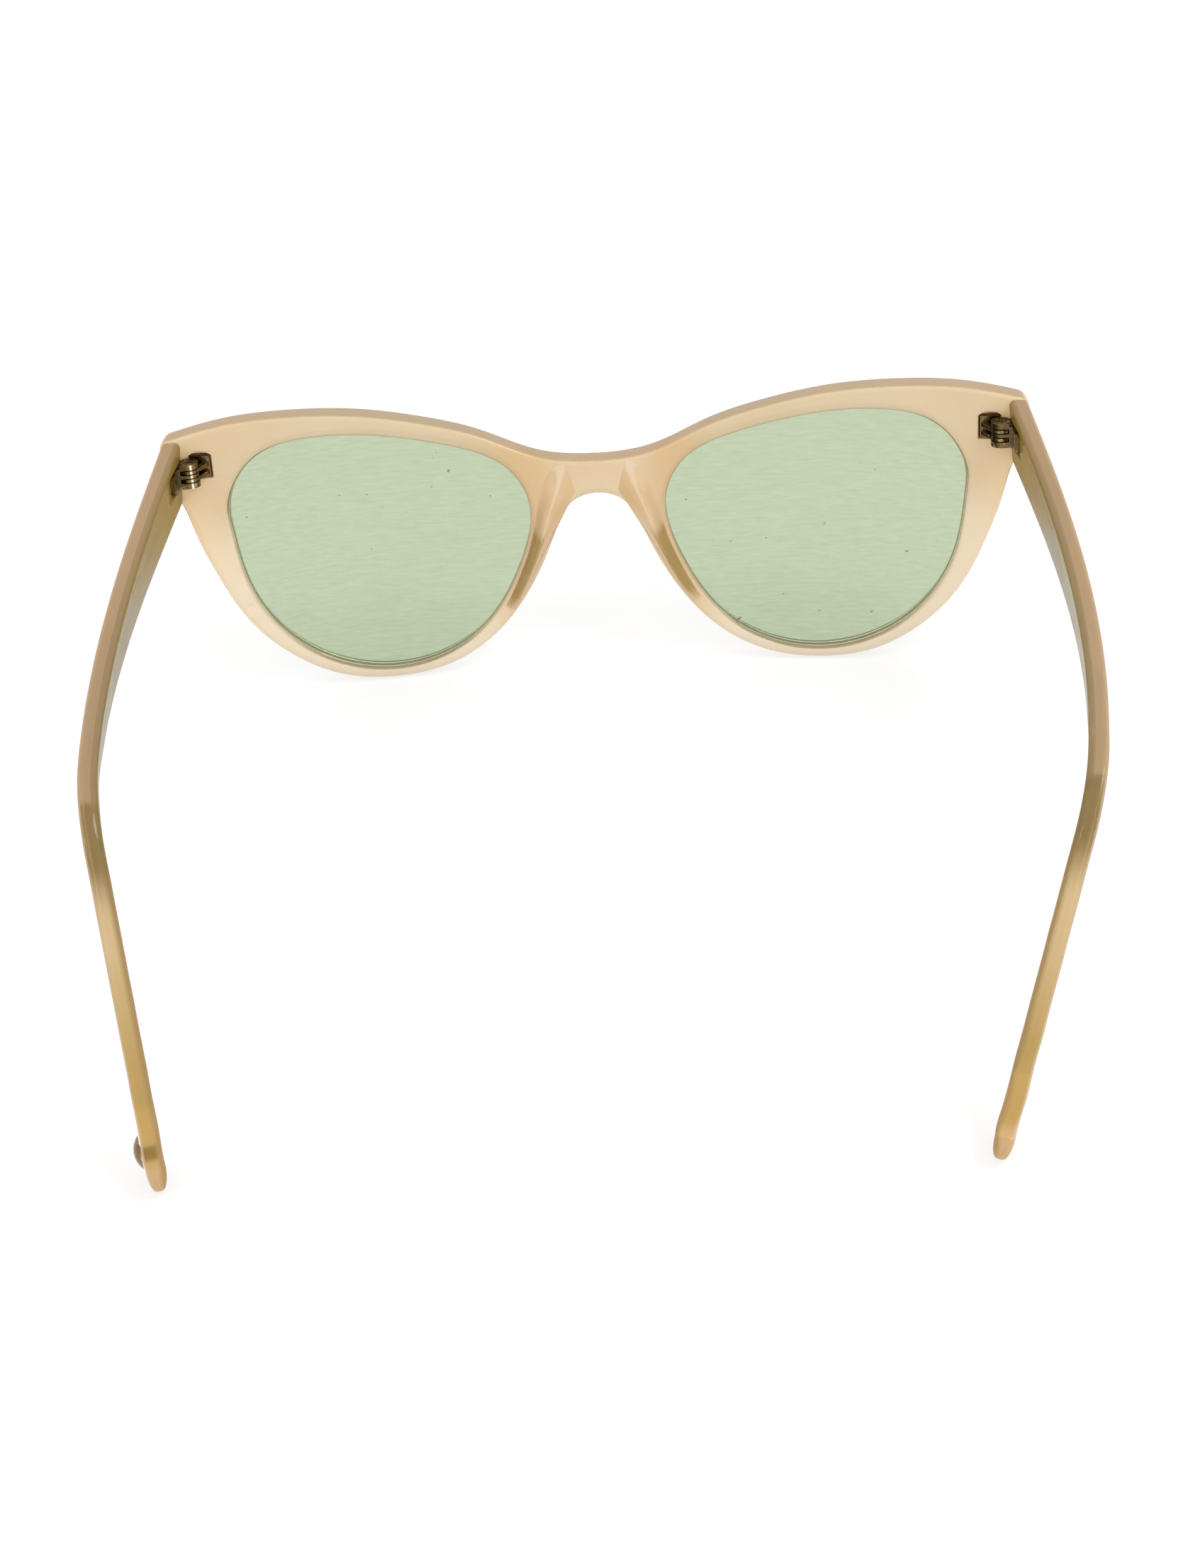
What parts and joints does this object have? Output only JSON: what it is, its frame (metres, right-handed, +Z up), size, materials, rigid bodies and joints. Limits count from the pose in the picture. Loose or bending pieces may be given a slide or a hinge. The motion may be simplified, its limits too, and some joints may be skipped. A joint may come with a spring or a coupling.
{
  "type": "cat eye sunglasses",
  "caption": "Translucent acetate cat eye sunglasses with tinted lenses, barrel hinges, wire-cored folding temples and bonded nose pads.",
  "frame": {"origin": "bottom centre of the bounding box, on the surface the open sunglasses stand on", "axes": "+Z up, the front faces -Y, the temples run towards +Y, +X is the wearer's left"},
  "size_m": [0.1396, 0.1308, 0.047],
  "materials": {
    "acetate": "polished translucent honey acetate",
    "lens_tint": "polished pale green tint",
    "hinge_metal": "aged nickel-bronze plating, satin",
    "screw_metal": "plated, lightly worn",
    "core_metal": "drawn wire",
    "stud_metal": "polished dome"
  },
  "bodies": {
    "front": {"front_frame": "acetate", "nose_pad_left": "acetate", "nose_pad_right": "acetate", "lens_left": "lens_tint", "lens_right": "lens_tint", "hinge_front_leaf_left": "hinge_metal", "hinge_front_leaf_right": "hinge_metal"},
    "left_temple": {"temple_left": "acetate", "hinge_temple_leaf_left": "hinge_metal", "hinge_screw_left": "screw_metal", "core_wire_left": "core_metal", "tip_stud": "stud_metal"},
    "right_temple": {"temple_right": "acetate", "hinge_temple_leaf_right": "hinge_metal", "hinge_screw_right": "screw_metal", "core_wire_right": "core_metal"}
  },
  "joints": [
    {"name": "left_temple_fold", "type": "hinge", "parent": "front", "child": "left_temple", "pos_m": [0.06387, -0.05525, 0.04032], "axis": [0, -0.1392, 0.9903], "range_deg": [0, 88]},
    {"name": "right_temple_fold", "type": "hinge", "parent": "front", "child": "right_temple", "pos_m": [-0.06323, -0.05525, 0.04032], "axis": [0, 0.1392, -0.9903], "range_deg": [0, 84]}
  ]
}
